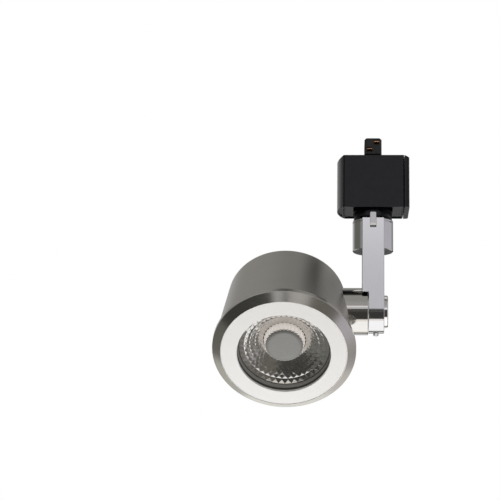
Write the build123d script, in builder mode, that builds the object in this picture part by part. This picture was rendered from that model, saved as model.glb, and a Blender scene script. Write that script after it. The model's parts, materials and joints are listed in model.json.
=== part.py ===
from build123d import *
import os
from math import cos, radians, sin

# Track spotlight: a round head carried beside a flat arm, hung from a single-circuit track adapter.
#
# Frame: the origin is the centre of the adapter's top face, which seats on the track's underside, and
# it lies on the pan axis. +Z is up, X runs along the track and the head aims forwards, towards -Y.
# Lengths are millimetres. Head pieces are drawn along the head's own axis: "along" is the distance in
# front of the tilt axis, and a section is a list of (radius, distance along its axis) points.

# ------------------------------------------------------------------ driving dimensions
GAP = 0.3  # air between pieces that move past each other
FIT = 0.05  # radial clearance of a shaft in its bore
CLEAR = 0.05  # clearance round a piece that is fixed in a pocket

# track adapter
ADAPTER_DEPTH = 34.0
ADAPTER_HEIGHT = 34.0
ADAPTER_END = 23.0
CAP_SEAM = 18.8  # the rounded end cap starts this far from the pan axis
LOCK_SEAM = 19.9  # and the lock slide this far, on the other side
WALL = 2.0
END_SLOPE = 1.5  # fall of the end pieces' tops
SEAM_EDGE = 0.5  # bevel of the housing's ends, which shows as a groove at each seam
UNDERSIDE_RECESS = 0.8
UNDERSIDE_LIP = 1.0
LOCK_CORNER = 2.0
POCKET_HALF = 12.5
POCKET_DEPTH = 6.0
LID_THICKNESS = 2.0
LID_SCREW_X = 14.2
LID_SCREW_Y = 12.4
LID_SCREW_RADIUS = 1.0
LID_SEAT_DEPTH = 1.2
BOSS_RADIUS = 2.5

# plug that enters the track
SLOT_NECK_RADIUS = 5.5
LIP_GAP = 2.4  # the plug's ears clear the track's lips by this height
PLUG_WIDTH = 11.0
PLUG_LENGTH = 22.0
PLUG_TOP = 13.0
PLUG_CORNER = 2.0
PLUG_FLANGE_RADIUS = 9.0
PLUG_FLANGE = 3.0
CONTACT_WIDTH = 3.2
CONTACT_THICKNESS = 0.8
CONTACT_REACH = 12.6
CONTACT_FOOT = -10.0

# lock slide in the flat end
LOCK_TRAVEL = 3.0
LOCK_KEY_HEIGHT = 2.0
LOCK_KEY_LENGTH = 2.4
LOCK_KEY_WIDTH = 10.0
LUG_TOP = -11.5
LUG_BOTTOM = -14.0
LUG_HALF = 2.5
SPRING_X = 12.0
SPRING_RADIUS = 2.0
SPRING_WIRE = 0.3
SPRING_TURNS = 6

# swivel on the pan axis
NECK_RADIUS = 12.2
NECK_BOTTOM = -38.4
NIPPLE_RADIUS = 4.0
NIPPLE_BORE = 2.7
NIPPLE_TOP = -20.0
NIPPLE_BOTTOM = -51.5
COLLAR_RADIUS = 13.0
COLLAR_TOP = -38.7
COLLAR_BOTTOM = -59.8
RING_BOTTOM = -41.0
GROOVE = 0.8
CHAMBER_RADIUS = 7.2
CHAMBER_TOP = -45.0
TAB_HALF = 1.9
TAB_TOP = -36.5
TAB_SLOPE_TOP = -43.4  # the tab's front slopes back from here to its lower end
TAB_BOTTOM = -45.1
TAB_THICKNESS = 1.3
TAB_FRONT = 13.95
STOP_LUG_WIDTH = 2.4
STOP_LUG_HEIGHT = 4.0
NUT_HEIGHT = 4.0
WASHER = 0.8

# arm
ARM_WIDTH = 14.0
ARM_DEPTH = 28.0
ARM_TOP = -40.2
ARM_SLOT_HALF = 2.0
ARM_SLOT_BOTTOM = -46.5
TILT_Z = -98.5
RECESS_RADIUS = 17.4
RECESS_X = -2.7
AXLE_RADIUS = 4.95
AXLE_BORE = 3.2
COUNTERBORE_RADIUS = 8.0
COUNTERBORE_X = 4.0
CAP_RADIUS = 10.3
CAP_X = 9.5
SET_SCREW_X = 1.9
SET_SCREW_RADIUS = 1.75

# head
HEAD_X = -55.2
HEAD_TILT = 45.0  # aim below the horizontal as modelled
BARREL_BACK = -15.2
BARREL_FRONT = 38.2
BACK_RADIUS = 37.3
FRONT_RADIUS = 43.0
BARREL_WALL = 1.85
BACK_FILLET = 3.0
HUB_RADIUS = 15.0
HUB_FACE_X = RECESS_X - GAP
PAD_RADIUS = 34.5  # flat inside the barrel that the hub's screws pull on
PAD_LENGTH = 26.0
PAD_WIDTH = 15.0
PAD_REACH = 10.0  # the pad is drawn this deep, then trimmed to the barrel's own form
HUB_SCREW_SPAN = 9.5
HUB_SCREW_RADIUS = 1.5
STOP_RADIUS = 11.0  # the stop pin's distance from the tilt axis
STOP_PIN_RADIUS = 1.5
STOP_PIN_DEPTH = 3.0
STOP_GROOVE_DEPTH = 2.6
TILT_EACH_WAY = 45.0
BEZEL_RADIUS = 44.5
BEZEL_BACK = 38.9
BEZEL_EDGE = 42.0
HEAD_FRONT = 46.0
TRIM_RADIUS = 39.0
TRIM_FACE = 45.8
TRIM_BACK = 44.4
LENS_VIEW_RADIUS = 29.0
LENS_FLANGE_RADIUS = 30.4
LENS_FLANGE_BACK = 42.4
LENS_WELL_RADIUS = 11.6
LENS_WELL_FLOOR = 37.4
SKIRT_RADIUS = 40.3
SKIRT_BACK = 32.0
SINK_BACK = 8.0
SINK_FRONT = 12.5
SINK_RADIUS = 37.4
LUG_RADIUS = 33.8
FIN_COUNT = 24
FIN_LENGTH = 10.4
FIN_THICKNESS = 1.3
FIN_HEIGHT = 11.5
FIN_CENTRE = 31.0
TRAY_RADIUS = 31.4
TRAY_BACK = -11.2
BOARD_BACK = -7.5
BOARD_FRONT = -5.9
COVER_RADIUS = 32.0
COVER_FRONT = -13.2
COVER_SCREW_RADIUS = 29.4
VENT_COUNT = 16
VENT_LENGTH = 12.0
VENT_WIDTH = 2.0
VENT_RADIUS = 17.0
STANDOFF_RADIUS = 25.5

# ------------------------------------------------------------------ axes and planes
aim = Vector(0, -cos(radians(HEAD_TILT)), -sin(radians(HEAD_TILT)))
head_up = Vector(0, -sin(radians(HEAD_TILT)), cos(radians(HEAD_TILT)))
head_centre = Vector(HEAD_X, 0, TILT_Z)
pan_axis = Axis.Z
tilt_axis = Axis((0, 0, TILT_Z), (1, 0, 0))
head_axis = Axis(head_centre, aim)
pan_section = Plane.XZ
tilt_section = Plane(origin=(0, 0, TILT_Z), x_dir=(0, 0, 1), z_dir=(0, 1, 0))
head_section = Plane(origin=head_centre, x_dir=(1, 0, 0), z_dir=-head_up)


def head_plane(along):
    """Plane across the head, facing forwards, at a distance in front of the tilt axis."""
    return Plane(origin=head_centre + aim * along, x_dir=(1, 0, 0), z_dir=aim)


def side_plane(x):
    """Plane across the tilt axis, facing +X; its own x is the head's up and its own y the aim."""
    return Plane(origin=(x, 0, TILT_Z), x_dir=head_up, z_dir=(1, 0, 0))


def barrel_radius(along):
    """Outer radius of the tapered barrel."""
    share = (along - BARREL_BACK) / (BARREL_FRONT - BARREL_BACK)
    return BACK_RADIUS + share * (FRONT_RADIUS - BACK_RADIUS)


# ------------------------------------------------------------------ shared operations
def turn(section, plane, axis):
    """Spin a closed section about the axis into the open part."""
    with BuildSketch(plane) as profile:
        with BuildLine():
            Polyline(*section, close=True)
        make_face()
    revolve(profile.sketch, axis=axis)


def disc(plane, radius, height, points=((0, 0),), mode=Mode.ADD):
    """Round plates, posts or holes that grow from the plane at each point."""
    with BuildSketch(plane) as outline:
        with Locations(*points):
            Circle(radius)
    extrude(outline.sketch, amount=height, mode=mode)


def block(plane, width, depth, height, centre=(0, 0), mode=Mode.ADD):
    """Rectangular block or pocket that grows from the plane."""
    with BuildSketch(plane) as outline:
        with Locations(centre):
            Rectangle(width, depth)
    extrude(outline.sketch, amount=height, mode=mode)


def nut(plane, across_flats, bore, height):
    """Hexagon nut that grows from the plane."""
    with BuildSketch(plane) as outline:
        RegularPolygon(radius=across_flats / 2, side_count=6, major_radius=False)
        Circle(bore, mode=Mode.SUBTRACT)
    extrude(outline.sketch, amount=height)


def screws(seat, points, radius, length, head_height=1.6):
    """Socket screws: heads rise from the seat along its normal, and shanks go the other way."""
    disc(seat, radius, -length, points)
    disc(seat, 1.8 * radius, head_height, points)
    with BuildSketch(seat.offset(head_height)) as socket:
        with Locations(*points):
            RegularPolygon(radius=0.9 * radius, side_count=6)
    extrude(socket.sketch, amount=-0.6 * head_height, mode=Mode.SUBTRACT)


def around(radius, count, start=0.0):
    """Points evenly spaced on a circle, the first at the start angle."""
    angles = [radians(start + 360 * step / count) for step in range(count)]
    return [(radius * cos(angle), radius * sin(angle)) for angle in angles]


def circles(part, radius):
    """Circular edges of one radius."""
    return part.edges().filter_by(lambda e: e.geom_type == GeomType.CIRCLE and abs(e.radius - radius) < 0.01)


os.makedirs("parts", exist_ok=True)

# ------------------------------------------------------------------ track adapter
lid_screw_points = [(x, y) for x in (-LID_SCREW_X, LID_SCREW_X) for y in (-LID_SCREW_Y, LID_SCREW_Y)]
inside_x = CAP_SEAM - WALL
inside_y = ADAPTER_DEPTH / 2 - WALL
pocket_ceiling = -ADAPTER_HEIGHT + POCKET_DEPTH
chamber_floor = pocket_ceiling + WALL
housing_end = LOCK_SEAM - GAP
housing_length = CAP_SEAM + housing_end

with BuildPart() as adapter_housing:
    housing_centre = ((housing_end - CAP_SEAM) / 2, 0)
    block(Plane.XY, housing_length, ADAPTER_DEPTH, -ADAPTER_HEIGHT, housing_centre)
    foot_ends = adapter_housing.edges().filter_by(Axis.Y).group_by(Axis.Z)[0]
    chamfer(adapter_housing.edges().filter_by(Axis.Z) + foot_ends, SEAM_EDGE)
    block(Plane.XY, 2 * inside_x, 2 * inside_y, WALL - ADAPTER_HEIGHT, mode=Mode.SUBTRACT)
    # raised box round the swivel pocket, which opens downwards behind a thin front wall
    box_half = POCKET_HALF + WALL
    box_depth = box_half + inside_y
    box_floor = Plane.XY.offset(-ADAPTER_HEIGHT)
    block(box_floor, 2 * box_half, box_depth, POCKET_DEPTH + WALL, (0, box_half - box_depth / 2))
    pocket_depth = POCKET_HALF + inside_y
    pocket_centre = (0, POCKET_HALF - pocket_depth / 2)
    block(box_floor, 2 * POCKET_HALF, pocket_depth, POCKET_DEPTH, pocket_centre, Mode.SUBTRACT)
    # the underside lies a little above its own rim
    recess_length = housing_length - 2 * UNDERSIDE_LIP
    recess_width = ADAPTER_DEPTH - 2 * UNDERSIDE_LIP
    block(box_floor, recess_length, recess_width, UNDERSIDE_RECESS, housing_centre, Mode.SUBTRACT)
    disc(box_floor, NIPPLE_RADIUS, ADAPTER_HEIGHT / 2, mode=Mode.SUBTRACT)
    # screw bosses and their pilot holes
    under_lid = Plane.XY.offset(-LID_THICKNESS)
    disc(under_lid, BOSS_RADIUS, WALL / 2 + LID_THICKNESS - ADAPTER_HEIGHT, lid_screw_points)
    disc(under_lid, LID_SCREW_RADIUS, -8, lid_screw_points, Mode.SUBTRACT)
    # slot for the lock slide's lug
    slot_height = LUG_TOP - LUG_BOTTOM + LOCK_TRAVEL + 2 * GAP
    slot_plane = Plane.XY.offset(LUG_TOP + GAP)
    block(slot_plane, 4 * WALL, 2 * (LUG_HALF + GAP), -slot_height, (LOCK_SEAM, 0), Mode.SUBTRACT)
adapter_housing.part.label = "adapter_housing"
export_step(adapter_housing.part, "parts/adapter_housing.step")



def cap_outline(plane):
    """D-shaped outline of the rounded end cap."""
    corners = [(-CAP_SEAM, side * ADAPTER_DEPTH / 2) for side in (-1, 1)]
    with BuildSketch(plane) as outline:
        with BuildLine():
            ThreePointArc(corners[0], (-ADAPTER_END, 0), corners[1])
            Line(corners[1], corners[0])
        make_face()
    return outline.sketch


with BuildPart() as adapter_end_cap:
    extrude(cap_outline(Plane.XY), amount=-ADAPTER_HEIGHT)
    with BuildSketch(Plane.XZ.offset(-ADAPTER_DEPTH)):
        with BuildLine():
            slope_start = (-CAP_SEAM, 0)
            slope_end = (-ADAPTER_END, -END_SLOPE)
            Polyline(slope_start, slope_end, (-ADAPTER_END, 1), (-CAP_SEAM, 1), close=True)
        make_face()
    extrude(amount=2 * ADAPTER_DEPTH, mode=Mode.SUBTRACT)
    fillet(adapter_end_cap.faces().sort_by(Axis.Z)[0].edges().filter_by(GeomType.CIRCLE), 0.4)
    cap_recess = offset(cap_outline(box_floor), amount=-UNDERSIDE_LIP, mode=Mode.PRIVATE)
    extrude(cap_recess, amount=UNDERSIDE_RECESS, mode=Mode.SUBTRACT)
adapter_end_cap.part.label = "adapter_end_cap"
export_step(adapter_end_cap.part, "parts/adapter_end_cap.step")

with BuildPart() as adapter_lid:
    block(Plane.XY, 2 * (inside_x - CLEAR), 2 * (inside_y - CLEAR), -LID_THICKNESS)
    disc(Plane.XY, SLOT_NECK_RADIUS + CLEAR, -LID_THICKNESS, mode=Mode.SUBTRACT)
    with Locations(*[(x, y, 0) for x, y in lid_screw_points]):
        CounterBoreHole(LID_SCREW_RADIUS + 0.1, 2 * LID_SCREW_RADIUS, LID_SEAT_DEPTH)
adapter_lid.part.label = "adapter_lid"
export_step(adapter_lid.part, "parts/adapter_lid.step")

with BuildPart() as lid_screws:
    screws(Plane.XY.offset(-LID_SEAT_DEPTH), lid_screw_points, LID_SCREW_RADIUS, 7, 1.0)
lid_screws.part.label = "lid_screws"
export_step(lid_screws.part, "parts/lid_screws.step")

# ------------------------------------------------------------------ plug and its three contacts
# name: (side of the plug, sideways place, height of the nose)
contacts = {
    "line_contact": (1, 0.0, 10.6),
    "neutral_contact": (-1, 2.2, 10.6),
    "ground_contact": (-1, -2.2, 5.8),
}
RUN_INNER = 3.0  # a contact's upright run is this far from the plug's centre

with BuildPart() as contact_plug:
    disc(under_lid, PLUG_FLANGE_RADIUS, -PLUG_FLANGE)
    disc(under_lid, SLOT_NECK_RADIUS, LID_THICKNESS + LIP_GAP)
    with BuildSketch(Plane.XY.offset(LIP_GAP)):
        RectangleRounded(PLUG_WIDTH, PLUG_LENGTH, PLUG_CORNER)
    extrude(amount=PLUG_TOP - LIP_GAP)
    chamfer(contact_plug.faces().sort_by(Axis.Z)[-1].edges(), 1)
    for side, place, height in contacts.values():
        run_centre = (place, side * (RUN_INNER + CONTACT_THICKNESS / 2))
        width = CONTACT_WIDTH + 2 * CLEAR
        depth = CONTACT_THICKNESS + 2 * CLEAR
        plug_foot = -LID_THICKNESS - PLUG_FLANGE
        block(Plane.XY.offset(plug_foot), width, depth, height - plug_foot, run_centre, Mode.SUBTRACT)
        # window that the contact's nose springs in and out of
        window_centre = (place, side * (RUN_INNER - CLEAR + PLUG_LENGTH / 2))
        block(Plane.XY.offset(height - 2), width, PLUG_LENGTH, 3, window_centre, Mode.SUBTRACT)
contact_plug.part.label = "contact_plug"
export_step(contact_plug.part, "parts/contact_plug.step")

for name, (side, place, height) in contacts.items():
    with BuildPart() as contact:
        run_centre = (place, side * (RUN_INNER + CONTACT_THICKNESS / 2))
        run_height = height - CONTACT_FOOT
        block(Plane.XY.offset(CONTACT_FOOT), CONTACT_WIDTH, CONTACT_THICKNESS, run_height, run_centre)
        nose_length = CONTACT_REACH - RUN_INNER
        nose_centre = (place, side * (RUN_INNER + nose_length / 2))
        block(Plane.XY.offset(height), CONTACT_WIDTH, nose_length, -CONTACT_THICKNESS, nose_centre)
        tip = contact.faces().sort_by(Axis.Y)[-1 if side > 0 else 0]
        fillet(tip.edges().filter_by(Axis.X), 0.35)
    contact.part.label = name
    export_step(contact.part, f"parts/{name}.step")

# ------------------------------------------------------------------ spring-loaded lock slide
with BuildPart() as lock_slide:
    slide_centre = ((ADAPTER_END + LOCK_SEAM) / 2, 0)
    block(Plane.XY, ADAPTER_END - LOCK_SEAM, ADAPTER_DEPTH, -ADAPTER_HEIGHT, slide_centre)
    fillet(lock_slide.faces().sort_by(Axis.X)[-1].edges().filter_by(Axis.Z), LOCK_CORNER)
    with BuildSketch(Plane.XZ.offset(-ADAPTER_DEPTH)):
        with BuildLine():
            Polyline((LOCK_SEAM, 0), (ADAPTER_END, -END_SLOPE), (ADAPTER_END, 1), (LOCK_SEAM, 1), close=True)
        make_face()
    extrude(amount=2 * ADAPTER_DEPTH, mode=Mode.SUBTRACT)
    # key that drops into the track's slot
    key_centre = (LOCK_SEAM + LOCK_KEY_LENGTH / 2, 0)
    key_height = LOCK_KEY_HEIGHT + END_SLOPE
    block(Plane.XY.offset(-END_SLOPE), LOCK_KEY_LENGTH, LOCK_KEY_WIDTH, key_height, key_centre)
    chamfer(lock_slide.faces().sort_by(Axis.Z)[-1].edges().filter_by(Axis.X), 0.6)
    # lug that carries the spring inside the housing
    lug_length = LOCK_SEAM - SPRING_X + LUG_HALF
    lug_centre = (LOCK_SEAM - lug_length / 2, 0)
    block(Plane.XY.offset(LUG_TOP), lug_length, 2 * LUG_HALF, LUG_BOTTOM - LUG_TOP, lug_centre)
lock_slide.part.label = "lock_slide"
export_step(lock_slide.part, "parts/lock_slide.step")

spring_foot = chamber_floor + SPRING_WIRE
spring_height = LUG_BOTTOM - chamber_floor - 2 * SPRING_WIRE
with BuildPart() as lock_spring:
    with BuildLine(Plane.XY.offset(spring_foot)) as spring_path:
        with Locations((SPRING_X, 0)):
            Helix(pitch=spring_height / SPRING_TURNS, height=spring_height, radius=SPRING_RADIUS)
    with BuildSketch(Plane(origin=spring_path.line @ 0, z_dir=spring_path.line % 0)):
        Circle(SPRING_WIRE)
    sweep(path=spring_path.line)
lock_spring.part.label = "lock_spring"
export_step(lock_spring.part, "parts/lock_spring.step")

# ------------------------------------------------------------------ swivel: fixed pieces on the pan axis
with BuildPart() as neck_bushing:
    disc(Plane.XY.offset(NECK_BOTTOM), NECK_RADIUS, pocket_ceiling - NECK_BOTTOM)
    # pan stop at the back, which the arm's stop tab meets from either side
    block(Plane.XY.offset(NECK_BOTTOM), STOP_LUG_WIDTH, 3, STOP_LUG_HEIGHT, (0, NECK_RADIUS))
    disc(Plane.XY.offset(NECK_BOTTOM), NIPPLE_RADIUS, pocket_ceiling - NECK_BOTTOM, mode=Mode.SUBTRACT)
neck_bushing.part.label = "neck_bushing"
export_step(neck_bushing.part, "parts/neck_bushing.step")

with BuildPart() as swivel_nipple:
    disc(Plane.XY.offset(NIPPLE_BOTTOM), NIPPLE_RADIUS, NIPPLE_TOP - NIPPLE_BOTTOM)
    disc(Plane.XY.offset(NIPPLE_BOTTOM), NIPPLE_BORE, NIPPLE_TOP - NIPPLE_BOTTOM, mode=Mode.SUBTRACT)
swivel_nipple.part.label = "swivel_nipple"
export_step(swivel_nipple.part, "parts/swivel_nipple.step")

with BuildPart() as nipple_lock_nut:
    nut(Plane.XY.offset(chamber_floor), 12.0, NIPPLE_RADIUS, NUT_HEIGHT)
nipple_lock_nut.part.label = "nipple_lock_nut"
export_step(nipple_lock_nut.part, "parts/nipple_lock_nut.step")

washer_top = CHAMBER_TOP - GAP
with BuildPart() as swivel_washer:
    disc(Plane.XY.offset(washer_top), CHAMBER_RADIUS - 0.5, -WASHER)
    disc(Plane.XY.offset(washer_top), NIPPLE_RADIUS, -WASHER, mode=Mode.SUBTRACT)
swivel_washer.part.label = "swivel_washer"
export_step(swivel_washer.part, "parts/swivel_washer.step")

with BuildPart() as swivel_nut:
    nut(Plane.XY.offset(washer_top - WASHER), 11.6, NIPPLE_RADIUS, -NUT_HEIGHT)
swivel_nut.part.label = "swivel_nut"
export_step(swivel_nut.part, "parts/swivel_nut.step")

# ------------------------------------------------------------------ swivel: pieces that turn with the arm
notch_width = 2 * TAB_HALF + 2 * CLEAR
notch_centre = (0, CLEAR - TAB_FRONT - 0.2)  # the notch runs from behind the tab out through the front
NOTCH = 3.0

with BuildPart() as collar_ring:
    ring_section = [
        (NIPPLE_RADIUS + GAP, RING_BOTTOM),
        (COLLAR_RADIUS, RING_BOTTOM),
        (COLLAR_RADIUS, COLLAR_TOP - 1.5),
        (NECK_RADIUS, COLLAR_TOP),
        (NIPPLE_RADIUS + GAP, COLLAR_TOP),
    ]
    turn(ring_section, pan_section, pan_axis)
    ring_height = COLLAR_TOP - RING_BOTTOM
    block(Plane.XY.offset(COLLAR_TOP), notch_width, NOTCH, -ring_height, notch_centre, Mode.SUBTRACT)
collar_ring.part.label = "collar_ring"
export_step(collar_ring.part, "parts/collar_ring.step")

with BuildPart() as swivel_collar:
    collar_section = [
        (NIPPLE_RADIUS + FIT, RING_BOTTOM),
        (NECK_RADIUS, RING_BOTTOM),
        (NECK_RADIUS, RING_BOTTOM - GROOVE),
        (COLLAR_RADIUS, RING_BOTTOM - GROOVE),
        (COLLAR_RADIUS, COLLAR_BOTTOM),
        (CHAMBER_RADIUS, COLLAR_BOTTOM),
        (CHAMBER_RADIUS, CHAMBER_TOP),
        (NIPPLE_RADIUS + FIT, CHAMBER_TOP),
    ]
    turn(collar_section, pan_section, pan_axis)
    notch_height = RING_BOTTOM - ARM_SLOT_BOTTOM
    block(Plane.XY.offset(RING_BOTTOM), notch_width, NOTCH, -notch_height, notch_centre, Mode.SUBTRACT)
    # window below the tab, through to the chamber
    window_height = TAB_BOTTOM - ARM_SLOT_BOTTOM
    window_depth = COLLAR_RADIUS - NIPPLE_RADIUS - 1
    window_centre = (0, window_depth / 2 - COLLAR_RADIUS)
    block(Plane.XY.offset(TAB_BOTTOM), notch_width, window_depth, -window_height, window_centre, Mode.SUBTRACT)
    chamfer(circles(swivel_collar, COLLAR_RADIUS).sort_by(Axis.Z)[0], 0.4)
swivel_collar.part.label = "swivel_collar"
export_step(swivel_collar.part, "parts/swivel_collar.step")

with BuildPart() as pan_stop_tab:
    tab_centre = (0, TAB_THICKNESS / 2 - TAB_FRONT)
    block(Plane.XY.offset(TAB_TOP), 2 * TAB_HALF, TAB_THICKNESS, TAB_BOTTOM - TAB_TOP, tab_centre)
    chamfer(pan_stop_tab.edges().filter_by(Axis.Y).group_by(Axis.Z)[-1], 0.4)
    front_foot = pan_stop_tab.edges().filter_by(Axis.X).group_by(Axis.Z)[0].sort_by(Axis.Y)[0]
    front_face = pan_stop_tab.faces().sort_by(Axis.Y)[0]
    chamfer(front_foot, TAB_SLOPE_TOP - TAB_BOTTOM, TAB_THICKNESS - 0.2, reference=front_face)
pan_stop_tab.part.label = "pan_stop_tab"
export_step(pan_stop_tab.part, "parts/pan_stop_tab.step")

# ------------------------------------------------------------------ arm
arm_half = ARM_WIDTH / 2
with BuildPart() as arm:
    with BuildSketch(Plane.YZ.offset(-arm_half)):
        with Locations((0, TILT_Z)):
            Circle(ARM_DEPTH / 2)
        with Locations((0, (ARM_TOP + TILT_Z) / 2)):
            Rectangle(ARM_DEPTH, ARM_TOP - TILT_Z)
    extrude(amount=ARM_WIDTH)
    chamfer(arm.faces().sort_by(Axis.X)[0].edges() + arm.faces().sort_by(Axis.X)[-1].edges(), 0.3)
    # seat for the collar, slot for the stop tab and the lead's way down to the tilt axle
    seat = Plane.XY.offset(COLLAR_BOTTOM)
    disc(seat, COLLAR_RADIUS + FIT, ARM_TOP - COLLAR_BOTTOM, mode=Mode.SUBTRACT)
    block(Plane.XY.offset(ARM_TOP), 2 * ARM_SLOT_HALF, 4, ARM_SLOT_BOTTOM - ARM_TOP, (0, -14), Mode.SUBTRACT)
    disc(seat, 3.0, TILT_Z - COLLAR_BOTTOM, mode=Mode.SUBTRACT)
    # tilt joint: recess for the hub, bore for the axle and counterbore for its nut
    disc(side_plane(RECESS_X), RECESS_RADIUS, -ARM_WIDTH, mode=Mode.SUBTRACT)
    disc(side_plane(-arm_half), AXLE_RADIUS + FIT, ARM_WIDTH, mode=Mode.SUBTRACT)
    disc(side_plane(COUNTERBORE_X), COUNTERBORE_RADIUS, ARM_WIDTH, mode=Mode.SUBTRACT)
    with BuildSketch(Plane.XY.offset(TILT_Z)):
        with Locations((SET_SCREW_X, 0)):
            Circle(SET_SCREW_RADIUS)
    extrude(amount=-ARM_DEPTH, mode=Mode.SUBTRACT)
    with BuildSketch(Plane.YZ.offset(RECESS_X)):
        with Locations((STOP_RADIUS, TILT_Z)):
            Circle(STOP_PIN_RADIUS)
    extrude(amount=STOP_PIN_DEPTH, mode=Mode.SUBTRACT)
arm.part.label = "arm"
export_step(arm.part, "parts/arm.step")

with BuildPart() as tilt_stop_pin:
    with BuildSketch(Plane.YZ.offset(RECESS_X + STOP_PIN_DEPTH)):
        with Locations((STOP_RADIUS, TILT_Z)):
            Circle(STOP_PIN_RADIUS)
    extrude(amount=-STOP_PIN_DEPTH - STOP_GROOVE_DEPTH + GAP)
tilt_stop_pin.part.label = "tilt_stop_pin"
export_step(tilt_stop_pin.part, "parts/tilt_stop_pin.step")

screw_end = TILT_Z - ARM_DEPTH / 2 - 1.6
with BuildPart() as tilt_set_screw:
    screw_foot = Plane.XY.offset(screw_end)
    screw_length = TILT_Z - AXLE_RADIUS - GAP - screw_end
    disc(screw_foot, SET_SCREW_RADIUS, screw_length, [(SET_SCREW_X, 0)])
    with BuildSketch(screw_foot):
        with Locations((SET_SCREW_X, 0)):
            RegularPolygon(radius=1.0, side_count=6)
    extrude(amount=2.5, mode=Mode.SUBTRACT)
    chamfer(circles(tilt_set_screw, SET_SCREW_RADIUS).sort_by(Axis.Z)[0], 0.4)
tilt_set_screw.part.label = "tilt_set_screw"
export_step(tilt_set_screw.part, "parts/tilt_set_screw.step")

with BuildPart() as pivot_cap:
    cap_section = [
        (0, CAP_X - 1.1),
        (COUNTERBORE_RADIUS - 0.6, CAP_X - 1.1),
        (COUNTERBORE_RADIUS - 0.6, arm_half - 1),
        (COUNTERBORE_RADIUS, arm_half - 1),
        (COUNTERBORE_RADIUS, arm_half),
        (CAP_RADIUS, arm_half),
        (CAP_RADIUS, CAP_X - 0.6),
        (CAP_RADIUS - 0.6, CAP_X),
        (0, CAP_X),
    ]
    turn(cap_section, tilt_section, tilt_axis)
pivot_cap.part.label = "pivot_cap"
export_step(pivot_cap.part, "parts/pivot_cap.step")

# ------------------------------------------------------------------ tilt axle, which turns with the head
axle_end_x = CAP_X - 1.1 - GAP
axle_start_x = -14.0
with BuildPart() as tilt_axle:
    disc(side_plane(axle_start_x), AXLE_RADIUS, axle_end_x - axle_start_x)
    disc(side_plane(axle_start_x), AXLE_BORE, axle_end_x - axle_start_x, mode=Mode.SUBTRACT)
    # window that lets the lead in from the arm
    block(Plane.XY.offset(TILT_Z + 1), 6.4, 12, 6, mode=Mode.SUBTRACT)
tilt_axle.part.label = "tilt_axle"
export_step(tilt_axle.part, "parts/tilt_axle.step")

with BuildPart() as tilt_washer:
    disc(side_plane(COUNTERBORE_X + GAP), 7.0, 0.6)
    disc(side_plane(COUNTERBORE_X + GAP), AXLE_RADIUS, 0.6, mode=Mode.SUBTRACT)
tilt_washer.part.label = "tilt_washer"
export_step(tilt_washer.part, "parts/tilt_washer.step")

with BuildPart() as tilt_nut:
    nut(side_plane(COUNTERBORE_X + GAP + 0.6), 12.0, AXLE_RADIUS, 2.6)
tilt_nut.part.label = "tilt_nut"
export_step(tilt_nut.part, "parts/tilt_nut.step")

# ------------------------------------------------------------------ barrel and the hub on its side
# outer form of the barrel, used to shape the pieces that meet it
with BuildPart() as barrel_form:
    form_section = [
        (0, BARREL_BACK),
        (BACK_RADIUS, BARREL_BACK),
        (FRONT_RADIUS, BARREL_FRONT),
        (0, BARREL_FRONT),
    ]
    turn(form_section, head_section, head_axis)
    fillet(circles(barrel_form, BACK_RADIUS), BACK_FILLET)

pad_x = HEAD_X + PAD_RADIUS
with BuildPart() as hub_pad:
    block(side_plane(pad_x), PAD_LENGTH, PAD_WIDTH, PAD_REACH)
    add(barrel_form.part, mode=Mode.INTERSECT)

hub_screw_points = [(-HUB_SCREW_SPAN, 0), (HUB_SCREW_SPAN, 0)]
sink_lug_angles = (60, 180, 300)

with BuildPart() as head_barrel:
    barrel_section = [
        (COVER_RADIUS, BARREL_BACK),
        (BACK_RADIUS, BARREL_BACK),
        (FRONT_RADIUS, BARREL_FRONT),
        (SKIRT_RADIUS + CLEAR, BARREL_FRONT),
        (SKIRT_RADIUS + CLEAR, SKIRT_BACK - 1),
        (barrel_radius(TRAY_BACK) - BARREL_WALL, TRAY_BACK),
        (COVER_RADIUS - 5, TRAY_BACK),
        (COVER_RADIUS - 5, COVER_FRONT),
        (COVER_RADIUS, COVER_FRONT),
    ]
    turn(barrel_section, head_section, head_axis)
    fillet(circles(head_barrel, BACK_RADIUS), BACK_FILLET)
    add(hub_pad.part)
    # lugs that the heat sink is screwed to
    for angle in sink_lug_angles:
        with BuildSketch(head_plane(SINK_BACK)):
            with PolarLocations((TRAY_RADIUS + FRONT_RADIUS) / 2 - 1.5, 1, angle):
                Rectangle(5.6, 7)
        extrude(amount=-4)
    disc(head_plane(SINK_BACK), 1.25, -4, around(LUG_RADIUS, 3, sink_lug_angles[0]), Mode.SUBTRACT)
    disc(head_plane(COVER_FRONT), 1.0, 2, around(COVER_SCREW_RADIUS, 3, 30), Mode.SUBTRACT)
    disc(side_plane(pad_x), AXLE_RADIUS, PAD_REACH, mode=Mode.SUBTRACT)
    disc(side_plane(pad_x), HUB_SCREW_RADIUS + 0.1, PAD_REACH, hub_screw_points, Mode.SUBTRACT)
head_barrel.part.label = "head_barrel"
export_step(head_barrel.part, "parts/head_barrel.step")

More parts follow.
